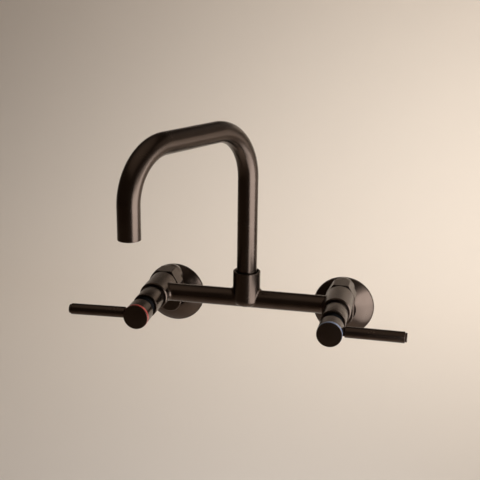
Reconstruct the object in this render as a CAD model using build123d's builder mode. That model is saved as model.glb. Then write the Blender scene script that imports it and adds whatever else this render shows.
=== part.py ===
from build123d import *
import math
import os

# Wall-mounted kitchen faucet: two offset wall unions carry two quarter-turn
# valves, joined by a bridge whose tee holds a tall swivelling spout.
# Millimetres, +Z up, +Y into the wall, origin on the wall plane midway between
# the two inlets. A depth is a distance out from the wall, along -Y. A rise is
# a height above the valve axes.

# Layout
inlet_spacing = 203.2
valve_rise = 27.3
hot_lever_droop = 1.2
cold_lever_droop = 0.2

# Clearances and overruns
running_clearance = 0.05
thread_clearance = 0.1
slip_clearance = 0.3
disc_film = 0.02
cut_overrun = 2.0

# Domed wall cover
cover_radius = 35.5
cover_rim_edge = 1.2
cover_height = 13.0
cover_hole_radius = 15.5
cover_wall = 1.0
collar_back = 6.5
collar_thickness = 2.0

# Offset wall union
barrel_radius = 12.8
socket_radius = 9.5
socket_depth = 15.5
block_back = 13.0
block_taper_length = 7.0
block_face_length = 10.0
block_half_width = 14.2
block_back_half_width = 12.3
block_edge_round = 1.2
passage_radius = 8.0
passage_height = 8.0
nose_radius = 13.2
nose_length = 7.0

# Union washer, tailpiece and nut
washer_thickness = 1.8
flange_radius = 12.8
flange_thickness = 3.0
nipple_radius = 10.6
nipple_bore_radius = 8.0
nipple_engagement = 8.0
nut_across_flats = 30.0
nut_crown_radius = 16.2
nut_lip_thickness = 7.7
nut_back_gap = 0.5
nut_crown_angle = 30

# Valve body
valve_gap = 3.5
body_radius = 15.8
body_length = 40.5
body_edge = 1.0
neck_radius = 10.9
neck_length = 6.0
seat_thickness = 3.0
seat_hole_radius = 6.5
chamber_radius = 9.9
boss_length = 5.2
boss_blend = 3.8
bridge_inset_share = 0.5086

# Cartridge
seal_thickness = 2.5
seal_hole_radius = 5.3
disc_radius = 7.8
disc_thickness = 3.2
port_inner_radius = 2.2
port_outer_radius = 5.0
port_span = 80
key_width = 3.0
key_length = 12.0
key_depth = 1.4
housing_radius = 9.2
housing_skirt = 0.5
housing_thread_length = 14.0
housing_hex_flats = 20.0
housing_hex_length = 3.5
housing_guide_radius = 10.5
housing_nose_radius = 8.6
window_width = 9.0
window_length = 6.8
stem_radius = 4.0
stem_base_thickness = 4.1
stem_flat_share = 0.8
groove_radius = 2.6
groove_width = 1.7
groove_place_share = 0.28
seal_ring_section = 0.7

# Bonnet and glide sleeve
bonnet_radius = 13.5
bonnet_length = 25.0
bonnet_wall = 1.6
bonnet_base_radius = 12.0
bonnet_base_length = 5.5
bonnet_lip_thickness = 3.0
bonnet_edge = 0.8
sleeve_radius = 10.4
sleeve_flange_radius = 11.6
sleeve_flange_thickness = 2.0
handle_gap = 13.0

# Handle
hub_radius = 13.1
hub_edge = 0.4
stem_engagement = 10.0
hub_web = 1.5
screw_shank_radius = 2.0
screw_shank_length = 9.7
screw_head_radius = 3.4
screw_head_height = 2.2
screw_socket_flats = 2.5
screw_socket_depth = 1.3
counterbore_radius = 6.1
cap_plug_length = 2.0
index_ring_radius = 13.3
index_ring_hole_radius = 10.2
index_ring_thickness = 3.1
cap_thickness = 1.4
cap_edge = 0.3
lever_inset = 8.3
lever_radius = 5.9
lever_reach = 77.0
lever_root_radius = 4.6
lever_root_length = 1.6
lever_root_taper = 1.2
lever_tip_radius = 4.9
lever_tip_length = 2.3
lever_tenon_radius = 3.0
lever_seat_inset = 0.8

# Bridge
bar_radius = 10.0
bar_bore_radius = 7.2
bar_spigot_radius = 8.4
bar_spigot_length = 5.0
tee_radius = 15.0
tee_rise = 32.0
tee_foot_drop = 7.6
tee_foot_round = 8.0
tee_blend = 4.0
tee_bore_radius = 11.75
tee_well_radius = 8.0
tee_well_drop = 6.0
tee_lip_round = 0.8
mouth_bevel_width = 1.5
mouth_bevel_depth = 2.4
seat_margin = 0.8

# Spout
spout_radius = 11.0
spout_wall = 1.2
spout_reach = 188.3
spout_arm_rise = 192.7
spout_arm_slope = 0.8
spout_outlet_rise = 113.0
riser_bend_radius = 57.5
outlet_bend_radius = 50.6
spout_swing = -23.8
spout_inset = 6.0

# Spout bearing
bearing_ring_thickness = 1.5
spigot_plug_length = 12.0
spigot_bore_radius = 7.2
spout_seal_section = 0.85
spout_seal_groove_width = 2.1
spout_seal_share = (0.5, 0.78)
keeper_groove_share = 0.2
keeper_groove_radius = 10.2
keeper_groove_width = 3.6
keeper_radius = 2.4
keeper_tip_radius = 1.6
keeper_tip_length = 1.5
keeper_socket_flats = 2.5
keeper_socket_depth = 1.4

# Aerator
aerator_recess = 0.8
aerator_length = 11.0
aerator_wall = 1.4
aerator_lip = 0.8
aerator_lip_height = 1.0
screen_thickness = 1.0
screen_hole_radius = 0.7
screen_ring_shares = (0.32, 0.62, 0.88)
screen_ring_counts = (6, 12, 18)
gasket_thickness = 1.6
gasket_hole_radius = 7.6

# Depths of the union and valve, from the wall outwards
block_full = block_back + block_taper_length
block_front = block_full + block_face_length
union_face = block_front + nose_length
washer_front = union_face + washer_thickness
flange_front = washer_front + flange_thickness
nut_back = block_front + nut_back_gap
nut_front = flange_front + nut_lip_thickness
body_back = nut_front + valve_gap
nipple_front = body_back + nipple_engagement
chamber_back = nipple_front + seat_thickness
bridge_depth = body_back + body_length * bridge_inset_share
body_front = body_back + body_length
neck_front = body_front + neck_length
boss_reach = body_radius + boss_length

# Depths of the cartridge, bonnet and handle
seal_front = chamber_back + seal_thickness
fixed_disc_front = seal_front + disc_thickness
moving_disc_back = fixed_disc_front + disc_film
moving_disc_front = moving_disc_back + disc_thickness
stem_base_front = moving_disc_front + stem_base_thickness
housing_shoulder = stem_base_front + slip_clearance
housing_back = seal_front - housing_skirt
housing_thread_back = neck_front - housing_thread_length
housing_guide_back = neck_front + housing_hex_length
bonnet_base_front = body_front + bonnet_base_length
bonnet_front = bonnet_base_front + bonnet_length
bonnet_lip_back = bonnet_front - bonnet_lip_thickness
sleeve_back = bonnet_lip_back - sleeve_flange_thickness
hub_back = bonnet_front + handle_gap
sleeve_front = hub_back - slip_clearance
housing_front = hub_back - slip_clearance - running_clearance
stem_front = hub_back + stem_engagement
web_back = stem_front + slip_clearance
web_front = web_back + hub_web
screw_head_front = web_front + screw_head_height
cap_plug_back = screw_head_front + slip_clearance
hub_front = cap_plug_back + cap_plug_length
ring_front = hub_front + index_ring_thickness
cap_front = ring_front + cap_thickness
lever_depth = hub_back + lever_inset

# Heights of the tee and spout bearing, above the valve axes
bearing_seat = bar_bore_radius + seat_margin
bearing_top = bearing_seat + bearing_ring_thickness
spigot_bottom = bearing_top + disc_film
tube_bottom = tee_rise - spout_inset
spigot_length = tube_bottom - spigot_bottom
keeper_rise = spigot_bottom + spigot_length * keeper_groove_share
tube_bore_radius = spout_radius - spout_wall
spigot_radius = tee_bore_radius - running_clearance

# Places shared by the spout and the aerator
swing = math.radians(spout_swing)
spout_x = math.sin(swing)
spout_y = -math.cos(swing)
outlet_x = spout_reach * spout_x
outlet_y = spout_reach * spout_y - bridge_depth
outlet_z = valve_rise + spout_outlet_rise

# Sphere of the cover's dome: its centre lies behind the wall, on the inlet axis
dome_chord = cover_height - cover_rim_edge
dome_middle = (cover_height + cover_rim_edge) / 2
dome_centre = dome_middle - (cover_radius**2 - cover_hole_radius**2) / dome_chord / 2
dome_radius = math.hypot(cover_rim_edge - dome_centre, cover_radius)


def facing(x, depth, z):
    """A plane parallel to the wall that faces out from it, with X right and Y up."""
    return Plane(origin=(x, -depth, z), x_dir=(1, 0, 0), z_dir=(0, -1, 0))


def level(x, y, z):
    """A plane that faces up."""
    return Plane(origin=(x, y, z), x_dir=(1, 0, 0), z_dir=(0, 0, 1))


def axis_out(x, z):
    """An axis square to the wall."""
    return Axis((x, 0, z), (0, -1, 0))


def axis_up(x, y):
    """An upright axis."""
    return Axis((x, y, 0), (0, 0, 1))


def turned(x, z, *outline):
    """A closed outline of depths and radii, in a plane through an axis square to the wall."""
    section_plane = Plane(origin=(x, 0, z), x_dir=(0, -1, 0), z_dir=(-1, 0, 0))
    with BuildSketch(section_plane) as section:
        with BuildLine():
            Polyline(*outline, close=True)
        make_face()
    return section.sketch


def turned_up(x, y, *outline):
    """A closed outline of radii and heights, in a plane through an upright axis."""
    section_plane = Plane(origin=(x, y, 0), x_dir=(1, 0, 0), z_dir=(0, -1, 0))
    with BuildSketch(section_plane) as section:
        with BuildLine():
            Polyline(*outline, close=True)
        make_face()
    return section.sketch


def disc(plane, radius, hole_radius=0):
    """A round section on the plane, with a hole where one is given."""
    with BuildSketch(plane) as section:
        Circle(radius)
        if hole_radius > 0:
            Circle(hole_radius, mode=Mode.SUBTRACT)
    return section.sketch


def hexagon(plane, across_flats, hole_radius=0):
    """A hexagon section on the plane, with a round hole where one is given."""
    with BuildSketch(plane) as section:
        RegularPolygon(across_flats / 2, 6, major_radius=False)
        if hole_radius > 0:
            Circle(hole_radius, mode=Mode.SUBTRACT)
    return section.sketch


def flatted(plane, radius, flat):
    """A round section on the plane with one flat, at the given distance above its centre."""
    with BuildSketch(plane) as section:
        Circle(radius)
        with Locations((0, flat)):
            Rectangle(radius * 2, radius, align=(Align.CENTER, Align.MIN), mode=Mode.SUBTRACT)
    return section.sketch


def ring_sector(plane, inner, outer, middle, span):
    """A sector of a ring on the plane, centred on the angle middle."""
    with BuildSketch(plane) as section:
        with BuildLine():
            rim = CenterArc((0, 0), outer, middle - span / 2, span)
            root = CenterArc((0, 0), inner, middle - span / 2, span)
            Line(rim @ 0, root @ 0)
            Line(rim @ 1, root @ 1)
        make_face()
    return section.sketch


def on_dome(radius, inset):
    """The depth and radius of a point on the cover's dome, or inset below its skin."""
    depth = dome_centre + math.sqrt((dome_radius - inset) ** 2 - radius**2)
    return (depth, radius)


def finish(piece, name):
    """Labels a finished piece and writes it."""
    piece.part.label = name
    export_step(piece.part, f"parts/{name}.step")


def build_escutcheon(side, x):
    """Spun dome with a crisp rim, and a collar inside that slides on the union's barrel."""
    inner_rim = cover_radius - cover_wall
    inner_hole = cover_hole_radius + cover_wall
    collar_front = collar_back + collar_thickness
    collar_radius = barrel_radius + slip_clearance
    middle = (cover_radius + cover_hole_radius) / 2
    section_plane = Plane(origin=(x, 0, 0), x_dir=(0, -1, 0), z_dir=(-1, 0, 0))
    with BuildPart() as escutcheon:
        with BuildSketch(section_plane):
            with BuildLine():
                Line((0, cover_radius), on_dome(cover_radius, 0))
                ThreePointArc(on_dome(cover_radius, 0), on_dome(middle, 0), on_dome(cover_hole_radius, 0))
                Polyline(
                    on_dome(cover_hole_radius, 0),
                    (collar_front, cover_hole_radius),
                    (collar_front, collar_radius),
                    (collar_back, collar_radius),
                    (collar_back, inner_hole),
                    on_dome(inner_hole, cover_wall),
                )
                ThreePointArc(
                    on_dome(inner_hole, cover_wall),
                    on_dome(middle, cover_wall),
                    on_dome(inner_rim, cover_wall),
                )
                Polyline(on_dome(inner_rim, cover_wall), (0, inner_rim), (0, cover_radius))
            make_face()
        revolve(axis=axis_out(x, 0))
    finish(escutcheon, f"{side}_escutcheon")


def build_eccentric_union(side, x):
    """Cast offset coupler: inlet barrel, upright block with a slot passage, and threaded nose."""
    middle = valve_rise / 2
    with BuildPart() as union:
        extrude(disc(facing(x, 0, 0), barrel_radius), amount=block_full)
        with BuildSketch(facing(x, block_back, middle)):
            SlotCenterToCenter(valve_rise, block_back_half_width * 2, rotation=90)
        with BuildSketch(facing(x, block_full, middle)):
            SlotCenterToCenter(valve_rise, block_half_width * 2, rotation=90)
        loft()
        with BuildSketch(facing(x, block_full, middle)):
            SlotCenterToCenter(valve_rise, block_half_width * 2, rotation=90)
        extrude(amount=block_face_length)
        fillet(union.faces().sort_by(Axis.Y)[0].edges(), radius=block_edge_round)
        extrude(disc(facing(x, block_front, valve_rise), nose_radius), amount=nose_length)
        # Waterway: pipe socket, slot passage and outlet bore
        extrude(disc(facing(x, 0, 0), socket_radius), amount=socket_depth, mode=Mode.SUBTRACT)
        with BuildSketch(facing(x, socket_depth, middle)):
            SlotCenterToCenter(valve_rise, passage_radius * 2, rotation=90)
        extrude(amount=passage_height, mode=Mode.SUBTRACT)
        outlet_length = union_face - socket_depth
        outlet = disc(facing(x, socket_depth, valve_rise), passage_radius)
        extrude(outlet, amount=outlet_length, mode=Mode.SUBTRACT)
    finish(union, f"{side}_eccentric_union")


def build_union_fittings(side, x):
    """Washer, flanged tailpiece and hexagon nut of the union."""
    with BuildPart() as washer:
        extrude(disc(facing(x, union_face, valve_rise), flange_radius, nipple_bore_radius), amount=washer_thickness)
    finish(washer, f"{side}_union_washer")

    with BuildPart() as nipple:
        outline = turned(
            x, valve_rise,
            (washer_front, nipple_bore_radius),
            (washer_front, flange_radius),
            (flange_front, flange_radius),
            (flange_front, nipple_radius),
            (nipple_front, nipple_radius),
            (nipple_front, nipple_bore_radius),
        )
        revolve(outline, axis=axis_out(x, valve_rise))
    finish(nipple, f"{side}_inlet_nipple")

    corner = nut_across_flats / math.sqrt(3) + cut_overrun
    crown = (corner - nut_crown_radius) * math.tan(math.radians(nut_crown_angle))
    thread_radius = nose_radius + thread_clearance
    lip_radius = nipple_radius + slip_clearance
    with BuildPart() as nut:
        extrude(hexagon(facing(x, nut_back, valve_rise), nut_across_flats), amount=nut_front - nut_back)
        crowned = turned(
            x, valve_rise,
            (nut_back, 0),
            (nut_back, nut_crown_radius),
            (nut_back + crown, corner),
            (nut_front - crown, corner),
            (nut_front, nut_crown_radius),
            (nut_front, 0),
        )
        revolve(crowned, axis=axis_out(x, valve_rise), mode=Mode.INTERSECT)
        bore = turned(
            x, valve_rise,
            (nut_back - cut_overrun, 0),
            (nut_back - cut_overrun, thread_radius),
            (flange_front, thread_radius),
            (flange_front, lip_radius),
            (nut_front + cut_overrun, lip_radius),
            (nut_front + cut_overrun, 0),
        )
        revolve(bore, axis=axis_out(x, valve_rise), mode=Mode.SUBTRACT)
    finish(nut, f"{side}_coupling_nut")


def build_valve_body(side, x, inward):
    """Cast valve body: barrel, side boss blended into it, seat web and cartridge chamber."""
    boss_plane = Plane(origin=(x, -bridge_depth, valve_rise), x_dir=(0, -inward, 0), z_dir=(inward, 0, 0))
    socket_plane = boss_plane.offset(boss_reach - bar_spigot_length - slip_clearance)
    with BuildPart() as body:
        extrude(disc(facing(x, body_back, valve_rise), body_radius), amount=body_length)
        extrude(disc(boss_plane, bar_radius), amount=boss_reach)
        seam = body.edges(Select.LAST).filter_by(
            lambda edge: edge.geom_type not in (GeomType.CIRCLE, GeomType.LINE)
        )
        fillet(seam, radius=boss_blend)
        rims = body.faces().filter_by(Axis.Y)
        chamfer(rims.sort_by(Axis.Y)[0].edges() + rims.sort_by(Axis.Y)[-1].edges(), body_edge)
        extrude(disc(facing(x, body_front, valve_rise), neck_radius), amount=neck_length)
        # Tailpiece bore, seat hole and cartridge chamber
        waterway = turned(
            x, valve_rise,
            (body_back - cut_overrun, 0),
            (body_back - cut_overrun, nipple_radius + running_clearance),
            (nipple_front, nipple_radius + running_clearance),
            (nipple_front, seat_hole_radius),
            (chamber_back, seat_hole_radius),
            (chamber_back, chamber_radius),
            (neck_front + cut_overrun, chamber_radius),
            (neck_front + cut_overrun, 0),
        )
        revolve(waterway, axis=axis_out(x, valve_rise), mode=Mode.SUBTRACT)
        extrude(disc(boss_plane, bar_bore_radius), amount=boss_reach + cut_overrun, mode=Mode.SUBTRACT)
        socket = disc(socket_plane, bar_spigot_radius + running_clearance)
        extrude(socket, amount=bar_spigot_length + cut_overrun, mode=Mode.SUBTRACT)
    finish(body, f"{side}_valve_body")


def build_discs(side, x):
    """Seat seal and the two ceramic discs: round ports below, butterfly lobes above."""
    with BuildPart() as seal:
        extrude(disc(facing(x, chamber_back, valve_rise), disc_radius, seal_hole_radius), amount=seal_thickness)
    finish(seal, f"{side}_cartridge_seal")

    with BuildPart() as fixed_disc:
        plane = facing(x, seal_front, valve_rise)
        extrude(disc(plane, disc_radius), amount=disc_thickness)
        for middle in (90, 270):
            port = ring_sector(plane, port_inner_radius, port_outer_radius, middle, port_span)
            extrude(port, amount=disc_thickness, mode=Mode.SUBTRACT)
    finish(fixed_disc, f"{side}_fixed_disc")

    with BuildPart() as moving_disc:
        plane = facing(x, moving_disc_back, valve_rise)
        extrude(disc(plane, disc_radius), amount=disc_thickness)
        for middle in (0, 180):
            notch = ring_sector(plane, port_inner_radius, disc_radius + cut_overrun, middle, port_span)
            extrude(notch, amount=disc_thickness, mode=Mode.SUBTRACT)
        with BuildSketch(facing(x, moving_disc_front - key_depth, valve_rise)):
            Rectangle(key_width, key_length + slip_clearance)
        extrude(amount=key_depth, mode=Mode.SUBTRACT)
    finish(moving_disc, f"{side}_moving_disc")


def build_stem(side, x):
    """Stem with its disc key, seal groove, drive flat and tapped end, and the seal ring in the groove."""
    shaft_length = stem_front - stem_base_front
    groove_middle = stem_base_front + shaft_length * groove_place_share
    groove_back = groove_middle - groove_width / 2
    groove_front = groove_middle + groove_width / 2
    with BuildPart() as stem:
        outline = turned(
            x, valve_rise,
            (moving_disc_front, 0),
            (moving_disc_front, disc_radius),
            (stem_base_front, disc_radius),
            (stem_base_front, stem_radius),
            (groove_back, stem_radius),
            (groove_back, groove_radius),
            (groove_front, groove_radius),
            (groove_front, stem_radius),
            (stem_front, stem_radius),
            (stem_front, 0),
        )
        revolve(outline, axis=axis_out(x, valve_rise))
        key_back = moving_disc_front - key_depth + running_clearance
        with BuildSketch(facing(x, key_back, valve_rise)):
            Rectangle(key_width - running_clearance * 2, key_length)
        extrude(amount=moving_disc_front - key_back)
        flat_plane = facing(x, hub_back, valve_rise)
        with BuildSketch(flat_plane):
            with Locations((0, stem_radius * stem_flat_share)):
                Rectangle(stem_radius * 2, stem_radius, align=(Align.CENTER, Align.MIN))
        extrude(amount=stem_engagement, mode=Mode.SUBTRACT)
        tapped_back = web_front - screw_shank_length - slip_clearance
        tapped = disc(facing(x, tapped_back, valve_rise), screw_shank_radius + running_clearance)
        extrude(tapped, amount=stem_front - tapped_back, mode=Mode.SUBTRACT)
    finish(stem, f"{side}_stem")

    section_plane = Plane(origin=(x, 0, valve_rise), x_dir=(0, -1, 0), z_dir=(-1, 0, 0))
    with BuildPart() as seal_ring:
        with BuildSketch(section_plane):
            with Locations((groove_middle, stem_radius + running_clearance / 2 - seal_ring_section)):
                Circle(seal_ring_section)
        revolve(axis=axis_out(x, valve_rise))
    finish(seal_ring, f"{side}_stem_oring")


def build_cartridge_housing(side, x):
    """Cartridge body: windowed skirt round the discs, thread, hexagon, guide and slender nose."""
    disc_bore = disc_radius + running_clearance * 4
    stem_bore = stem_radius + running_clearance
    thread_radius = chamber_radius - thread_clearance
    window_middle = moving_disc_back + window_length / 2
    with BuildPart() as housing:
        outline = turned(
            x, valve_rise,
            (housing_back, disc_bore),
            (housing_back, housing_radius),
            (housing_thread_back, housing_radius),
            (housing_thread_back, thread_radius),
            (housing_guide_back, thread_radius),
            (housing_guide_back, housing_guide_radius),
            (sleeve_back, housing_guide_radius),
            (sleeve_back, housing_nose_radius),
            (housing_front, housing_nose_radius),
            (housing_front, stem_bore),
            (housing_shoulder, stem_bore),
            (housing_shoulder, disc_bore),
        )
        revolve(outline, axis=axis_out(x, valve_rise))
        wrench_hex = hexagon(facing(x, neck_front, valve_rise), housing_hex_flats, stem_bore)
        extrude(wrench_hex, amount=housing_hex_length)
        with BuildSketch(level(x, -window_middle, valve_rise)):
            Rectangle(window_width, window_length)
        extrude(amount=housing_radius + cut_overrun, both=True, mode=Mode.SUBTRACT)
    finish(housing, f"{side}_cartridge_housing")


def build_bonnet(side, x):
    """Tubular bonnet with a recessed foot, and the glide sleeve that its front lip traps."""
    bonnet_bore = bonnet_radius - bonnet_wall
    with BuildPart() as bonnet:
        outline = turned(
            x, valve_rise,
            (body_front, neck_radius + thread_clearance),
            (body_front, bonnet_base_radius),
            (bonnet_base_front, bonnet_base_radius),
            (bonnet_base_front, bonnet_radius),
            (bonnet_front - bonnet_edge, bonnet_radius),
            (bonnet_front, bonnet_radius - bonnet_edge),
            (bonnet_front, sleeve_radius + thread_clearance),
            (bonnet_lip_back, sleeve_radius + thread_clearance),
            (bonnet_lip_back, bonnet_bore),
            (neck_front, bonnet_bore),
            (neck_front, neck_radius + thread_clearance),
        )
        revolve(outline, axis=axis_out(x, valve_rise))
    finish(bonnet, f"{side}_bonnet")

    sleeve_bore = housing_nose_radius + thread_clearance
    with BuildPart() as sleeve:
        outline = turned(
            x, valve_rise,
            (sleeve_back, sleeve_bore),
            (sleeve_back, sleeve_flange_radius),
            (bonnet_lip_back, sleeve_flange_radius),
            (bonnet_lip_back, sleeve_radius),
            (sleeve_front, sleeve_radius),
            (sleeve_front, sleeve_bore),
        )
        revolve(outline, axis=axis_out(x, valve_rise))
    finish(sleeve, f"{side}_glide_sleeve")


def lever_plane(x, outward, droop, reach):
    """A plane square to the lever, at a reach from the valve axis, that faces along the lever."""
    slope = math.radians(droop)
    along = (outward * math.cos(slope), 0, -math.sin(slope))
    origin = (x + along[0] * reach, -lever_depth, valve_rise + along[2] * reach)
    return Plane(origin=origin, x_dir=(0, -1, 0), z_dir=along)


def build_handle_hub(side, x, outward, droop):
    """Handle hub: drive bore with a flat, screw web, front counterbore and seat for the lever."""
    lever_seat = hub_radius - lever_seat_inset
    tenon_end = stem_radius + running_clearance * 2 + lever_seat_inset
    with BuildPart() as hub:
        outline = turned(
            x, valve_rise,
            (hub_back, 0),
            (hub_back, hub_radius - hub_edge),
            (hub_back + hub_edge, hub_radius),
            (hub_front, hub_radius),
            (hub_front, counterbore_radius),
            (web_front, counterbore_radius),
            (web_front, 0),
        )
        revolve(outline, axis=axis_out(x, valve_rise))
        drive_radius = stem_radius + running_clearance
        drive_flat = stem_radius * stem_flat_share + running_clearance
        drive = flatted(facing(x, hub_back, valve_rise), drive_radius, drive_flat)
        extrude(drive, amount=web_back - hub_back, mode=Mode.SUBTRACT)
        screw_hole = disc(facing(x, web_back, valve_rise), screw_shank_radius + running_clearance * 4)
        extrude(screw_hole, amount=hub_web, mode=Mode.SUBTRACT)
        tenon_hole = disc(lever_plane(x, outward, droop, tenon_end), lever_tenon_radius + running_clearance)
        extrude(tenon_hole, amount=hub_radius, mode=Mode.SUBTRACT)
        spot_face = disc(lever_plane(x, outward, droop, lever_seat), lever_root_radius + thread_clearance)
        extrude(spot_face, amount=hub_radius, mode=Mode.SUBTRACT)
    finish(hub, f"{side}_handle_hub")


def build_lever(side, x, outward, droop):
    """Round bar lever: tenon, necked root, straight bar and stepped tip."""
    lever_seat = hub_radius - lever_seat_inset
    tenon_end = stem_radius + running_clearance * 2 + lever_seat_inset + slip_clearance
    root_end = lever_seat + lever_root_length
    section_plane = lever_plane(x, outward, droop, 0)
    along = section_plane.z_dir
    side_plane = Plane(origin=section_plane.origin, x_dir=along, z_dir=along.cross(Vector(0, -1, 0)))
    with BuildPart() as lever:
        with BuildSketch(side_plane):
            with BuildLine():
                Polyline(
                    (tenon_end, 0),
                    (tenon_end, lever_tenon_radius),
                    (lever_seat, lever_tenon_radius),
                    (lever_seat, lever_root_radius),
                    (root_end, lever_root_radius),
                    (root_end + lever_root_taper, lever_radius),
                    (lever_reach - lever_tip_length, lever_radius),
                    (lever_reach - lever_tip_length + (lever_radius - lever_tip_radius) / 2, lever_tip_radius),
                    (lever_reach, lever_tip_radius),
                    (lever_reach, 0),
                    close=True,
                )
            make_face()
        revolve(axis=Axis(section_plane.origin, along))
    finish(lever, f"{side}_lever")


def build_handle_trim(side, x):
    """Handle screw, coloured index ring and front cap."""
    with BuildPart() as screw:
        outline = turned(
            x, valve_rise,
            (web_front - screw_shank_length, 0),
            (web_front - screw_shank_length, screw_shank_radius),
            (web_front, screw_shank_radius),
            (web_front, screw_head_radius),
            (screw_head_front, screw_head_radius),
            (screw_head_front, 0),
        )
        revolve(outline, axis=axis_out(x, valve_rise))
        socket = hexagon(facing(x, screw_head_front - screw_socket_depth, valve_rise), screw_socket_flats)
        extrude(socket, amount=screw_socket_depth, mode=Mode.SUBTRACT)
    finish(screw, f"{side}_handle_screw")

    with BuildPart() as index_ring:
        extrude(disc(facing(x, hub_front, valve_rise), index_ring_radius, index_ring_hole_radius), amount=index_ring_thickness)
    finish(index_ring, f"{side}_index_ring")

    with BuildPart() as cap:
        outline = turned(
            x, valve_rise,
            (cap_plug_back, 0),
            (cap_plug_back, counterbore_radius - thread_clearance),
            (hub_front, counterbore_radius - thread_clearance),
            (hub_front, index_ring_hole_radius - thread_clearance),
            (ring_front, index_ring_hole_radius - thread_clearance),
            (ring_front, hub_radius),
            (cap_front - cap_edge, hub_radius),
            (cap_front, hub_radius - cap_edge),
            (cap_front, 0),
        )
        revolve(outline, axis=axis_out(x, valve_rise))
    finish(cap, f"{side}_hub_cap")


def build_bridge():
    """Bridge casting: bar with brazing spigots, and a blended tee with the spout's bearing bore."""
    half_length = inlet_spacing / 2 - boss_reach
    spigot_reach = half_length + bar_spigot_length
    bar_plane = Plane(origin=(0, -bridge_depth, valve_rise), x_dir=(0, -1, 0), z_dir=(1, 0, 0))
    tee_top = valve_rise + tee_rise
    tee_foot = valve_rise - tee_foot_drop
    keeper_plane = Plane(
        origin=(0, -bridge_depth, valve_rise + keeper_rise), x_dir=(1, 0, 0), z_dir=(0, 1, 0)
    )
    with BuildPart() as bridge:
        extrude(disc(level(0, -bridge_depth, tee_foot), tee_radius), amount=tee_top - tee_foot)
        fillet(bridge.faces().sort_by(Axis.Z)[0].edges(), radius=tee_foot_round)
        extrude(disc(bar_plane, bar_radius), amount=half_length, both=True)
        seam = bridge.edges(Select.LAST).filter_by(
            lambda edge: edge.geom_type not in (GeomType.CIRCLE, GeomType.LINE)
        )
        fillet(seam, radius=tee_blend)
        fillet(bridge.faces().sort_by(Axis.Z)[-1].edges(), radius=tee_lip_round)
        extrude(disc(bar_plane, bar_spigot_radius), amount=spigot_reach, both=True)
        # Bearing bore with its bevelled mouth, and the well below the seat
        bore = turned_up(
            0, -bridge_depth,
            (0, valve_rise - tee_well_drop),
            (tee_well_radius, valve_rise - tee_well_drop),
            (tee_well_radius, valve_rise + bearing_seat),
            (tee_bore_radius, valve_rise + bearing_seat),
            (tee_bore_radius, tee_top - mouth_bevel_depth),
            (tee_bore_radius + mouth_bevel_width, tee_top),
            (0, tee_top),
        )
        revolve(bore, axis=axis_up(0, -bridge_depth), mode=Mode.SUBTRACT)
        extrude(disc(bar_plane, bar_bore_radius), amount=spigot_reach, both=True, mode=Mode.SUBTRACT)
        extrude(disc(keeper_plane, keeper_radius + thread_clearance), amount=tee_radius, mode=Mode.SUBTRACT)
    finish(bridge, "bridge")


def build_spout():
    """Bent tube: riser, nearly level arm and outlet, in one upright plane."""
    tube_foot = valve_rise + tube_bottom
    arm_height = valve_rise + spout_arm_rise
    arm_end = arm_height + spout_reach * math.tan(math.radians(spout_arm_slope))
    swing_plane = Plane(
        origin=(0, -bridge_depth, 0), x_dir=(spout_x, spout_y, 0), z_dir=(spout_y, -spout_x, 0)
    )
    with BuildPart() as spout:
        with BuildLine(swing_plane) as route:
            FilletPolyline(
                (0, tube_foot),
                (0, arm_height),
                (spout_reach, arm_end),
                (spout_reach, outlet_z),
                radius=[riser_bend_radius, outlet_bend_radius],
            )
        tube = disc(level(0, -bridge_depth, tube_foot), spout_radius, tube_bore_radius)
        sweep(tube, path=route.wire())
    finish(spout, "spout")


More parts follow.
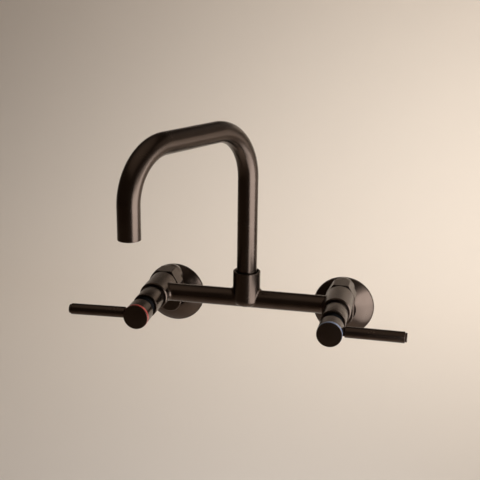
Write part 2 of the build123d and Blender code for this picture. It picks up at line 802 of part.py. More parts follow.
def build_spout_bearing():
    """Spigot soldered in the spout's foot, its seals, the thrust ring and the keeper screw."""
    foot = valve_rise + spigot_bottom
    shoulder = valve_rise + tube_bottom
    plug_radius = tube_bore_radius - running_clearance
    keeper_z = valve_rise + keeper_rise
    seal_ring_radius = spigot_radius - spout_seal_section
    seal_groove_radius = spigot_radius - spout_seal_section * 2 - running_clearance
    with BuildPart() as spigot:
        outline = turned_up(
            0, -bridge_depth,
            (spigot_bore_radius, foot),
            (spigot_radius, foot),
            (spigot_radius, shoulder),
            (plug_radius, shoulder),
            (plug_radius, shoulder + spigot_plug_length),
            (spigot_bore_radius, shoulder + spigot_plug_length),
        )
        revolve(outline, axis=axis_up(0, -bridge_depth))
        for share in spout_seal_share:
            groove_plane = level(0, -bridge_depth, foot + spigot_length * share - spout_seal_groove_width / 2)
            groove = disc(groove_plane, spigot_radius + cut_overrun, seal_groove_radius)
            extrude(groove, amount=spout_seal_groove_width, mode=Mode.SUBTRACT)
        keeper_groove_plane = level(0, -bridge_depth, keeper_z - keeper_groove_width / 2)
        keeper_groove = disc(keeper_groove_plane, spigot_radius + cut_overrun, keeper_groove_radius)
        extrude(keeper_groove, amount=keeper_groove_width, mode=Mode.SUBTRACT)
    finish(spigot, "spout_spigot")

    section_plane = Plane(origin=(0, -bridge_depth, foot), x_dir=(1, 0, 0), z_dir=(0, -1, 0))
    with BuildPart() as seals:
        with BuildSketch(section_plane):
            with Locations(*[(seal_ring_radius, spigot_length * share) for share in spout_seal_share]):
                Circle(spout_seal_section)
        revolve(axis=axis_up(0, -bridge_depth))
    finish(seals, "spout_orings")

    with BuildPart() as bearing_ring:
        seat = level(0, -bridge_depth, valve_rise + bearing_seat)
        extrude(disc(seat, spigot_radius - running_clearance, tee_well_radius), amount=bearing_ring_thickness)
    finish(bearing_ring, "spout_bearing_ring")

    tip_reach = keeper_groove_radius + slip_clearance
    shoulder_reach = tip_reach + keeper_tip_length
    keeper_tip = Plane(
        origin=(0, tip_reach - bridge_depth, keeper_z), x_dir=(1, 0, 0), z_dir=(0, 1, 0)
    )
    with BuildPart() as keeper:
        extrude(disc(keeper_tip, keeper_tip_radius), amount=keeper_tip_length)
        shank_length = tee_radius - shoulder_reach - slip_clearance
        extrude(disc(keeper_tip.offset(keeper_tip_length), keeper_radius), amount=shank_length)
        socket_plane = keeper_tip.offset(keeper_tip_length + shank_length - keeper_socket_depth)
        extrude(hexagon(socket_plane, keeper_socket_flats), amount=keeper_socket_depth, mode=Mode.SUBTRACT)
    finish(keeper, "spout_retaining_screw")


def build_aerator():
    """Aerator hidden in the spout's end: threaded cup, perforated screen on its lip and gasket above."""
    cup_radius = tube_bore_radius - thread_clearance
    cup_bore = cup_radius - aerator_wall
    cup_foot = outlet_z + aerator_recess
    cup_top = cup_foot + aerator_length
    screen_radius = cup_bore - running_clearance
    with BuildPart() as housing:
        extrude(disc(level(outlet_x, outlet_y, cup_foot), cup_radius, cup_bore), amount=aerator_length)
        lip = disc(level(outlet_x, outlet_y, cup_foot), cup_bore, cup_bore - aerator_lip)
        extrude(lip, amount=aerator_lip_height)
    finish(housing, "aerator_housing")

    with BuildPart() as screen:
        screen_plane = level(outlet_x, outlet_y, cup_foot + aerator_lip_height)
        with BuildSketch(screen_plane):
            Circle(screen_radius)
            Circle(screen_hole_radius, mode=Mode.SUBTRACT)
            for share, count in zip(screen_ring_shares, screen_ring_counts):
                with PolarLocations((cup_bore - aerator_lip) * share, count):
                    Circle(screen_hole_radius, mode=Mode.SUBTRACT)
        extrude(amount=screen_thickness)
    finish(screen, "aerator_screen")

    with BuildPart() as gasket:
        extrude(disc(level(outlet_x, outlet_y, cup_top), cup_radius, gasket_hole_radius), amount=gasket_thickness)
    finish(gasket, "aerator_gasket")


def build_side(side, outward, droop):
    """All the pieces of one side, hot or cold."""
    x = inlet_spacing / 2 * outward
    build_escutcheon(side, x)
    build_eccentric_union(side, x)
    build_union_fittings(side, x)
    build_valve_body(side, x, -outward)
    build_discs(side, x)
    build_stem(side, x)
    build_cartridge_housing(side, x)
    build_bonnet(side, x)
    build_handle_hub(side, x, outward, droop)
    build_lever(side, x, outward, droop)
    build_handle_trim(side, x)


os.makedirs("parts", exist_ok=True)
build_side("hot", -1, hot_lever_droop)
build_side("cold", 1, cold_lever_droop)
build_bridge()
build_spout()
build_spout_bearing()
build_aerator()
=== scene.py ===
"""Looks of a wall-mounted kitchen faucet in oil-rubbed bronze.

Everything is in metres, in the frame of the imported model: X along the bridge from hot to cold,
+Y into the wall, Z up, and the origin on the wall midway between the two inlets. A depth is a
distance out from the wall, along -Y.
"""

from __future__ import annotations

import logging
import math
from dataclasses import dataclass, field
from enum import Enum
from typing import Iterable, Sequence

import bmesh
import bpy
from mathutils import Matrix, Vector


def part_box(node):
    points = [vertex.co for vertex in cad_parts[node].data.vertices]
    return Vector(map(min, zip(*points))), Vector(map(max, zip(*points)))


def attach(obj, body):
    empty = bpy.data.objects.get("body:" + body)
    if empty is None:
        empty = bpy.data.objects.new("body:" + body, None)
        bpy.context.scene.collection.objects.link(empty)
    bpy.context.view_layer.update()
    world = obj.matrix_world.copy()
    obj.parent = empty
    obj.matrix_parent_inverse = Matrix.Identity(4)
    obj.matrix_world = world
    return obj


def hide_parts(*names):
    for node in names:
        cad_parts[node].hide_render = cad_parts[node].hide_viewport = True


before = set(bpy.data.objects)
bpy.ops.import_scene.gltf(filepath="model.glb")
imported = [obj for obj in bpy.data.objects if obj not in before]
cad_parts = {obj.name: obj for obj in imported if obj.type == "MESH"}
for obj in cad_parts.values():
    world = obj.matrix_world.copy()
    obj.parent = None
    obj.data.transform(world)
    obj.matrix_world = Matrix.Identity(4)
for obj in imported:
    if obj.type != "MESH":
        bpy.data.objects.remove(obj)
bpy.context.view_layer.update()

MM = 0.001
LOG = logging.getLogger("faucet")

Point = tuple[float, float]
Band = tuple[float, float]
Colour = tuple[float, float, float]

WHOLE = (0.0, 1.0)
# Factor, first and second colour, and result of a Mix node that mixes colours.
MIX_INPUTS = (0, 6, 7)
MIX_OUTPUT = 2
REMAP_INPUTS = ("Value", "From Min", "From Max", "To Min", "To Max")

ROUND_STEPS = 144
ON_AXIS = 0.0001 * MM
LONGEST_ROUND_SHARE = 0.49


class Side(Enum):
    """The two sides of the faucet, by the water that they carry."""

    HOT = "hot"
    COLD = "cold"


class Slot(Enum):
    """The material slots of the model's record."""

    BRONZE = "bronze"
    BARE_BRASS = "bare_brass"
    STEEL = "steel"
    CERAMIC = "ceramic"
    SEAL_RUBBER = "seal_rubber"
    DARK_PLASTIC_AND_SHADE = "dark_plastic"
    PALE_PLASTIC = "pale_plastic"
    RED_RING = "red_ring"
    BLUE_RING = "blue_ring"


# Shader graphs


@dataclass
class Graph:
    """Places and links the nodes of one shader tree."""

    tree: bpy.types.NodeTree

    def add(self, kind: str, inputs: dict | None = None, **settings: object) -> bpy.types.Node:
        """Adds a node.

        Args:
            kind: the node's type name.
            inputs: a value or an output socket for each named or numbered input.
            settings: properties of the node.

        Returns:
            The new node.
        """
        node = self.tree.nodes.new(kind)
        for name, value in settings.items():
            setattr(node, name, value)
        for key, value in (inputs or {}).items():
            socket = node.inputs[key]
            if isinstance(value, bpy.types.NodeSocket):
                self.tree.links.new(value, socket)
            else:
                socket.default_value = value
        return node

    def math(self, operation: str, *values: object, clamp: bool = False) -> bpy.types.NodeSocket:
        """Adds a Math node on the values and returns its output."""
        inputs = dict(enumerate(values))
        return self.add("ShaderNodeMath", inputs, operation=operation, use_clamp=clamp).outputs[0]

    def product(self, first: object, second: object, third: object) -> bpy.types.NodeSocket:
        """Multiplies three values, clamped, and returns the result."""
        return self.math("MULTIPLY", self.math("MULTIPLY", first, second), third, clamp=True)

    def mix(self, factor: object, first: object, second: object) -> bpy.types.NodeSocket:
        """Mixes two colours by a factor and returns the result."""
        inputs = dict(zip(MIX_INPUTS, (factor, first, second)))
        return self.add("ShaderNodeMix", inputs, data_type="RGBA").outputs[MIX_OUTPUT]

    def remap(self, value: object, source: Band, target: Band = WHOLE) -> bpy.types.NodeSocket:
        """Maps a value from one band to another, clamped, and returns the result."""
        inputs = dict(zip(REMAP_INPUTS, (value, *source, *target)))
        return self.add("ShaderNodeMapRange", inputs).outputs["Result"]

    def noise(self, scale: object, **inputs: float) -> bpy.types.NodeSocket:
        """Adds a noise over the object's own space and returns its value."""
        place = self.add("ShaderNodeTexCoord").outputs["Object"]
        return self.add("ShaderNodeTexNoise", {"Vector": place, "Scale": scale, **inputs}).outputs["Fac"]


def rgba(colour: Colour) -> tuple[float, float, float, float]:
    """The colour with full alpha."""
    return (*colour, 1.0)


def new_group(
    name: str, inputs: dict[str, float], outputs: Iterable[str]
) -> tuple[Graph, bpy.types.Node]:
    """Makes a shader node group whose sockets are all values.

    Args:
        name: the group's name.
        inputs: default value of each input.
        outputs: the names of the outputs.

    Returns:
        A graph on the group, and the node that brings in its inputs.
    """
    group = bpy.data.node_groups.new(name, "ShaderNodeTree")
    for label, default in inputs.items():
        socket = group.interface.new_socket(label, in_out="INPUT", socket_type="NodeSocketFloat")
        socket.default_value = default
    for label in outputs:
        group.interface.new_socket(label, in_out="OUTPUT", socket_type="NodeSocketFloat")
    graph = Graph(group)
    return graph, graph.add("NodeGroupInput")


class Effects:
    """Node groups shared by the finishes, each built once."""

    noise_middle: float = 0.5
    patch_gain: float = 2.4
    speck_band: Band = (0.42, 0.68)
    bend_band: Band = (0.995, 0.90)
    wear_band: Band = (0.38, 0.62)
    wear_least: float = 0.15
    # Bands of the painted shade in recesses: how closed in a point must be, and how noise breaks it up.
    closed_band: Band = (0.9, 0.35)
    painted_shade_band: Band = (0.35, 0.65)
    painted_shade_least: float = 0.55

    def __init__(self) -> None:
        """Builds the groups."""
        self.mottle = self._mottle()
        self.edge_wear = self._edge_wear()
        self.recess = self._recess()
        self.grain = self._grain()

    def _mottle(self) -> bpy.types.NodeTree:
        """Cloudy patches of two sizes, such as those of a rubbed patina.

        Returns:
            The group, with outputs Patches and Specks between 0 and 1.
        """
        inputs = {"Patch Scale": 40.0, "Speck Scale": 900.0, "Contrast": 1.0}
        graph, source = new_group("patina mottle", inputs, ("Patches", "Specks"))
        broad = graph.noise(source.outputs["Patch Scale"], Detail=5.0, Roughness=0.6, Distortion=0.6)
        fine = graph.noise(source.outputs["Speck Scale"], Detail=3.0, Roughness=0.7)
        swing = graph.math("SUBTRACT", broad, self.noise_middle)
        swing = graph.math("MULTIPLY", swing, source.outputs["Contrast"])
        patches = graph.math("MULTIPLY_ADD", swing, self.patch_gain, self.noise_middle, clamp=True)
        specks = graph.remap(fine, self.speck_band)
        graph.add("NodeGroupOutput", {"Patches": patches, "Specks": specks})
        return graph.tree

    def _edge_wear(self) -> bpy.types.NodeTree:
        """Broken rubbing along edges, found where a rounded normal leaves the true one.

        Returns:
            The group, with output Mask between 0 and 1.
        """
        inputs = {"Width": 0.0006, "Breakup Scale": 500.0, "Strength": 1.0}
        graph, source = new_group("edge wear", inputs, ("Mask",))
        rounded = graph.add("ShaderNodeBevel", {"Radius": source.outputs["Width"]}, samples=6)
        true_normal = graph.add("ShaderNodeNewGeometry").outputs["Normal"]
        normals = {0: rounded.outputs["Normal"], 1: true_normal}
        agreement = graph.add("ShaderNodeVectorMath", normals, operation="DOT_PRODUCT")
        bend = graph.remap(agreement.outputs["Value"], self.bend_band)
        breakup = graph.noise(source.outputs["Breakup Scale"], Detail=4.0)
        patchy = graph.remap(breakup, self.wear_band, (self.wear_least, 1.0))
        graph.add("NodeGroupOutput", {"Mask": graph.product(bend, patchy, source.outputs["Strength"])})
        return graph.tree

    def _recess(self) -> bpy.types.NodeTree:
        """Painted shade: darkening in corners and recesses, where ambient occlusion finds them closed in.

        Returns:
            The group, with output Mask between 0 and 1.
        """
        inputs = {"Reach": 0.003, "Breakup Scale": 260.0, "Strength": 0.6}
        graph, source = new_group("recess residue", inputs, ("Mask",))
        reach = {"Distance": source.outputs["Reach"]}
        openness = graph.add("ShaderNodeAmbientOcclusion", reach, samples=6, only_local=False)
        closed = graph.remap(openness.outputs["AO"], self.closed_band)
        breakup = graph.noise(source.outputs["Breakup Scale"], Detail=3.0)
        patchy = graph.remap(breakup, self.painted_shade_band, (self.painted_shade_least, 1.0))
        graph.add("NodeGroupOutput", {"Mask": graph.product(closed, patchy, source.outputs["Strength"])})
        return graph.tree

    def _grain(self) -> bpy.types.NodeTree:
        """Fine surface relief: a soft ripple and a fine tooth.

        Returns:
            The group, with output Height.
        """
        inputs = {"Ripple Scale": 180.0, "Tooth Scale": 2600.0, "Tooth Share": 0.35}
        graph, source = new_group("surface grain", inputs, ("Height",))
        ripple = graph.noise(source.outputs["Ripple Scale"], Detail=2.0)
        tooth = graph.noise(source.outputs["Tooth Scale"], Detail=2.0)
        height = graph.math("MULTIPLY_ADD", tooth, source.outputs["Tooth Share"], ripple)
        graph.add("NodeGroupOutput", {"Height": height})
        return graph.tree


# Finishes


@dataclass(frozen=True)
class Finish:
    """One surface finish: its colours, its gloss and how they vary."""

    name: str
    slot: Slot
    base: Colour
    tint: Colour
    metallic: float
    roughness: float
    roughness_swing: float
    patch_scale: float
    patch_contrast: float
    relief: float
    ripple_scale: float
    tooth_scale: float
    worn: Colour | None = None
    wear_width: float = 0.5 * MM
    wear_strength: float = 0.0
    # Painted shade in recesses: its colour, how strongly it is mixed in, and how much it dulls the gloss
    # there.
    painted_shade: Colour | None = None
    painted_shade_strength: float = 0.0
    painted_shade_dulling: float = 0.25
    speck_share: float = 0.5
    coat: float = 0.0
    coat_roughness: float = 0.15
    specular: float = 0.5

    def material(self, effects: Effects) -> bpy.types.Material:
        """Builds the finish as a material.

        Args:
            effects: the shared node groups.

        Returns:
            The material.
        """
        made = bpy.data.materials.new(self.name)
        made.use_nodes = True
        made.node_tree.nodes.clear()
        graph = Graph(made.node_tree)
        inputs = {"Patch Scale": self.patch_scale, "Contrast": self.patch_contrast}
        mottle = graph.add("ShaderNodeGroup", inputs, node_tree=effects.mottle)
        colour = graph.mix(mottle.outputs["Patches"], rgba(self.base), rgba(self.tint))
        gloss_band = (self.roughness - self.roughness_swing, self.roughness + self.roughness_swing)
        broad = graph.remap(mottle.outputs["Patches"], WHOLE, gloss_band)
        speck_swing = self.roughness_swing * self.speck_share
        roughness = graph.math("MULTIPLY_ADD", mottle.outputs["Specks"], speck_swing, broad)
        # Painted shade: a darker colour mixed in where ambient occlusion finds a recess; the gloss is dulled
        # there too.
        if self.painted_shade:
            recess = graph.add("ShaderNodeGroup", node_tree=effects.recess)
            recess.inputs["Strength"].default_value = self.painted_shade_strength
            colour = graph.mix(recess.outputs["Mask"], colour, rgba(self.painted_shade))
            roughness = graph.math("MULTIPLY_ADD", recess.outputs["Mask"], self.painted_shade_dulling, roughness)
        if self.worn:
            inputs = {"Width": self.wear_width, "Strength": self.wear_strength}
            wear = graph.add("ShaderNodeGroup", inputs, node_tree=effects.edge_wear)
            colour = graph.mix(wear.outputs["Mask"], colour, rgba(self.worn))
        inputs = {"Ripple Scale": self.ripple_scale, "Tooth Scale": self.tooth_scale}
        grain = graph.add("ShaderNodeGroup", inputs, node_tree=effects.grain)
        inputs = {"Height": grain.outputs["Height"], "Distance": self.relief, "Strength": 1.0}
        bump = graph.add("ShaderNodeBump", inputs)
        shader = graph.add("ShaderNodeBsdfPrincipled", {
            "Base Color": colour,
            "Roughness": roughness,
            "Normal": bump.outputs["Normal"],
            "Metallic": self.metallic,
            "Specular IOR Level": self.specular,
            "Coat Weight": self.coat,
            "Coat Roughness": self.coat_roughness,
        })
        graph.add("ShaderNodeOutputMaterial", {"Surface": shader.outputs["BSDF"]})
        return made


RUBBED_BRONZE = Finish(
    name="oil_rubbed_bronze", slot=Slot.BRONZE,
    base=(0.066, 0.045, 0.033), tint=(0.082, 0.057, 0.042), metallic=1.0,
    roughness=0.26, roughness_swing=0.018, patch_scale=38.0, patch_contrast=0.8,
    relief=0.000012, ripple_scale=70.0, tooth_scale=2400.0,
    worn=(0.17, 0.11, 0.08), wear_width=0.35 * MM, wear_strength=0.35,
    # Painted shade in recesses, near black.
    painted_shade=(0.012, 0.009, 0.008), painted_shade_strength=0.7,
)
MACHINED_BRASS = Finish(
    name="machined_brass", slot=Slot.BARE_BRASS,
    base=(0.72, 0.52, 0.22), tint=(0.62, 0.43, 0.17), metallic=1.0,
    roughness=0.30, roughness_swing=0.06, patch_scale=90.0, patch_contrast=0.8,
    relief=0.00003, ripple_scale=400.0, tooth_scale=3200.0,
    # Painted shade in recesses, dark brown.
    painted_shade=(0.20, 0.13, 0.06), painted_shade_strength=0.6,
)
STAINLESS = Finish(
    name="stainless_steel", slot=Slot.STEEL,
    base=(0.55, 0.54, 0.52), tint=(0.46, 0.45, 0.44), metallic=1.0,
    roughness=0.28, roughness_swing=0.06, patch_scale=120.0, patch_contrast=0.8,
    relief=0.00002, ripple_scale=500.0, tooth_scale=3600.0,
)
CERAMIC = Finish(
    name="lapped_ceramic", slot=Slot.CERAMIC,
    base=(0.84, 0.82, 0.77), tint=(0.78, 0.76, 0.70), metallic=0.0,
    roughness=0.22, roughness_swing=0.04, patch_scale=110.0, patch_contrast=0.7,
    relief=0.00001, ripple_scale=300.0, tooth_scale=3000.0,
)
SEAL_RUBBER = Finish(
    name="seal_rubber", slot=Slot.SEAL_RUBBER,
    base=(0.018, 0.018, 0.018), tint=(0.034, 0.033, 0.032), metallic=0.0,
    roughness=0.62, roughness_swing=0.08, patch_scale=160.0, patch_contrast=1.0,
    relief=0.00006, ripple_scale=600.0, tooth_scale=2800.0,
)
# Near-black and barely glossy: the aerator housing's own plastic, and on the glide sleeve painted shade in
# the gap between bonnet and hub.
DARK_PLASTIC_AND_SHADE = Finish(
    name="dark_acetal_and_painted_shade", slot=Slot.DARK_PLASTIC_AND_SHADE,
    base=(0.003, 0.003, 0.003), tint=(0.007, 0.006, 0.006), metallic=0.0,
    roughness=0.82, roughness_swing=0.05, patch_scale=140.0, patch_contrast=0.9,
    relief=0.00004, ripple_scale=500.0, tooth_scale=2600.0, specular=0.04,
)
PALE_PLASTIC = Finish(
    name="pale_acetal", slot=Slot.PALE_PLASTIC,
    base=(0.72, 0.69, 0.61), tint=(0.64, 0.60, 0.52), metallic=0.0,
    roughness=0.40, roughness_swing=0.05, patch_scale=130.0, patch_contrast=0.8,
    relief=0.00003, ripple_scale=500.0, tooth_scale=2600.0,
)
RED_ENAMEL = Finish(
    name="red_enamel", slot=Slot.RED_RING,
    base=(0.36, 0.026, 0.014), tint=(0.28, 0.019, 0.010), metallic=0.0,
    roughness=0.34, roughness_swing=0.05, patch_scale=120.0, patch_contrast=0.9,
    relief=0.00003, ripple_scale=300.0, tooth_scale=2600.0,
    worn=(0.20, 0.10, 0.07), wear_width=0.3 * MM, wear_strength=0.3, coat=0.15,
)
BLUE_ENAMEL = Finish(
    name="blue_enamel", slot=Slot.BLUE_RING,
    base=(0.105, 0.13, 0.185), tint=(0.08, 0.10, 0.15), metallic=0.0,
    roughness=0.34, roughness_swing=0.05, patch_scale=120.0, patch_contrast=0.9,
    relief=0.00003, ripple_scale=300.0, tooth_scale=2600.0,
    worn=(0.16, 0.15, 0.16), wear_width=0.3 * MM, wear_strength=0.3, coat=0.15,
)


class Palette:
    """The materials, one for each finish."""

    def __init__(self, finishes: Iterable[Finish]) -> None:
        """Builds the materials of the finishes."""
        effects = Effects()
        self.materials = {finish.slot: finish.material(effects) for finish in finishes}

    def dress(self, piece: bpy.types.Object, slot: Slot) -> None:
        """Gives the whole piece one material.

        Args:
            piece: the object to dress.
            slot: the slot of its material.
        """
        piece.data.materials.clear()
        piece.data.materials.append(self.materials[slot])
        for polygon in piece.data.polygons:
            polygon.material_index = 0


# Mesh making


def rounded_outline(corners: Sequence[tuple[float, float, float]], steps: int = 5) -> list[Point]:
    """Rounds the corners of a closed outline.

    Args:
        corners: place along the axis, radius from the axis and rounding of each corner, in order.
        steps: how many parts each rounded corner has.

    Returns:
        The outline's points, place and radius.
    """
    points: list[Point] = []
    count = len(corners)
    for index, (along, out, rounding) in enumerate(corners):
        here = Vector((along, out))
        if rounding <= 0:
            points.append((along, out))
            continue
        before = Vector(corners[index - 1][:2]) - here
        after = Vector(corners[(index + 1) % count][:2]) - here
        longest = min(before.length, after.length) * LONGEST_ROUND_SHARE
        reach = min(rounding, longest)
        start = here + before.normalized() * reach
        end = here + after.normalized() * reach
        for step in range(steps + 1):
            share = step / steps
            bend = start.lerp(here, share).lerp(here.lerp(end, share), share)
            points.append((bend.x, bend.y))
    return points


def arc_points(centre: float, radius: float, start: float, end: float, steps: int) -> list[Point]:
    """Points on an arc about a point of the axis, from one radius out from the axis to another.

    Args:
        centre: the arc centre's place along the axis.
        radius: the arc's radius.
        start: how far the first point is from the axis.
        end: how far the last point is from the axis.
        steps: how many parts the arc has.

    Returns:
        Place and radius of each point.
    """
    first, last = math.asin(start / radius), math.asin(end / radius)
    angles = [first + (last - first) * step / steps for step in range(steps + 1)]
    return [(centre + radius * math.cos(angle), radius * math.sin(angle)) for angle in angles]


def add_skin(shape: bmesh.types.BMesh, rings: Sequence[Sequence[Vector]], closed: bool) -> None:
    """Joins rings of equally many points to one surface in a bmesh.

    Args:
        shape: the bmesh that takes the surface.
        rings: the rings, in order.
        closed: whether the last ring joins the first.
    """
    rows = [[shape.verts.new(point) for point in ring] for ring in rings]
    pairs = list(zip(rows, rows[1:]))
    if closed:
        pairs.append((rows[-1], rows[0]))
    for first, second in pairs:
        for step in range(len(first)):
            after = (step + 1) % len(first)
            shape.faces.new((first[step], second[step], second[after], first[after]))
    if not closed:
        shape.faces.new(rows[0])
        shape.faces.new(rows[-1])


def skin(name: str, rings: Sequence[Sequence[Vector]], closed: bool = True) -> bpy.types.Object:
    """Makes an object of one surface through rings of points.

    Args:
        name: the piece's name.
        rings: the rings, in order.
        closed: whether the last ring joins the first.

    Returns:
        The new object.
    """
    shape = bmesh.new()
    add_skin(shape, rings, closed)
    bmesh.ops.recalc_face_normals(shape, faces=shape.faces)
    return as_object(shape, name)


def spin(
    name: str, outline: Sequence[Point], origin: Vector, axis: Vector, segments: int = ROUND_STEPS
) -> bpy.types.Object:
    """Spins an outline about an axis.

    Args:
        name: the piece's name.
        outline: place along the axis and radius of each point, going round the section. It closes
            on itself, unless it starts and ends on the axis.
        origin: the point on the axis where the place is 0.
        axis: the direction in which the place grows.
        segments: steps in a full turn.

    Returns:
        The new object.
    """
    along = axis.normalized()
    across = along.orthogonal().normalized()
    side = along.cross(across)
    turns = [math.tau * step / segments for step in range(segments)]
    shape = bmesh.new()
    rings: list[list[bmesh.types.BMVert]] = []
    for place, radius in outline:
        centre = origin + along * place
        if radius < ON_AXIS:
            rings.append([shape.verts.new(centre)])
        else:
            spokes = (across * math.cos(turn) + side * math.sin(turn) for turn in turns)
            rings.append([shape.verts.new(centre + spoke * radius) for spoke in spokes])
    pairs = list(zip(rings, rings[1:] + rings[:1]))
    if len(rings[0]) == 1 and len(rings[-1]) == 1:
        pairs.pop()
    for first, second in pairs:
        for step in range(segments):
            after = (step + 1) % segments
            if len(first) == 1:
                shape.faces.new((first[0], second[step], second[after]))
            elif len(second) == 1:
                shape.faces.new((first[step], second[0], first[after]))
            else:
                shape.faces.new((first[step], second[step], second[after], first[after]))
    bmesh.ops.recalc_face_normals(shape, faces=shape.faces)
    return as_object(shape, name)


def as_object(shape: bmesh.types.BMesh, name: str, sharp_angle: float = 32.0) -> bpy.types.Object:
    """Turns a bmesh into a smooth object in the scene.

    Args:
        shape: the bmesh, which is freed.
        name: the piece's name.
        sharp_angle: the angle in degrees beyond which an edge is sharp.

    Returns:
        The new object.
    """
    mesh = bpy.data.meshes.new(name)
    shape.to_mesh(mesh)
    shape.free()
    for polygon in mesh.polygons:
        polygon.use_smooth = True
    mesh.set_sharp_from_angle(angle=math.radians(sharp_angle))
    piece = bpy.data.objects.new(name, mesh)
    bpy.context.scene.collection.objects.link(piece)
    return piece


@dataclass(frozen=True)
class Seat:
    """Where a turned node of the model lies: its axis, its depths and its outer radius."""

    x: float
    z: float
    back: float
    front: float
    radius: float

    @classmethod
    def of(cls, node: str) -> Seat:
        """Reads the place of a node whose axis is square to the wall."""
        low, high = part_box(node)
        return cls((low.x + high.x) / 2, (low.z + high.z) / 2, -high.y, -low.y, (high.z - low.z) / 2)

    @property
    def origin(self) -> Vector:
        """The point where the axis meets the wall."""
        return Vector((self.x, 0.0, self.z))


OUT = Vector((0.0, -1.0, 0.0))
UP = Vector((0.0, 0.0, 1.0))


@dataclass
class Assembly:
    """What the sub-assemblies share: their palette, and how a piece is fitted and reported."""

    palette: Palette

    def fit(self, piece: bpy.types.Object, body: str, slot: Slot, *nodes: str) -> None:
        """Dresses a new piece, lets it ride on a body and says which nodes it stands for.

        Args:
            piece: the new object.
            body: the body that carries it.
            slot: the material slot of its finish.
            nodes: the nodes of the model that it stands for.
        """
        self.palette.dress(piece, slot)
        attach(piece, body)
        if nodes:
            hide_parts(*nodes)
        LOG.info("%s: %d faces, rides on %s", piece.name, len(piece.data.polygons), body)

    def keep(self, node: str, slot: Slot) -> None:
        """Dresses a node of the model that shows as it is."""
        self.palette.dress(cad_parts[node], slot)
        LOG.info("%s: kept from the model", node)


@dataclass
class SideAssembly(Assembly):
    """What the sub-assemblies of one side share: the side, and how its pieces are named."""

    side: Side

    def named(self, piece: str) -> str:
        """The name of a piece, body or node of this side."""
        return f"{self.side.value}_{piece}"


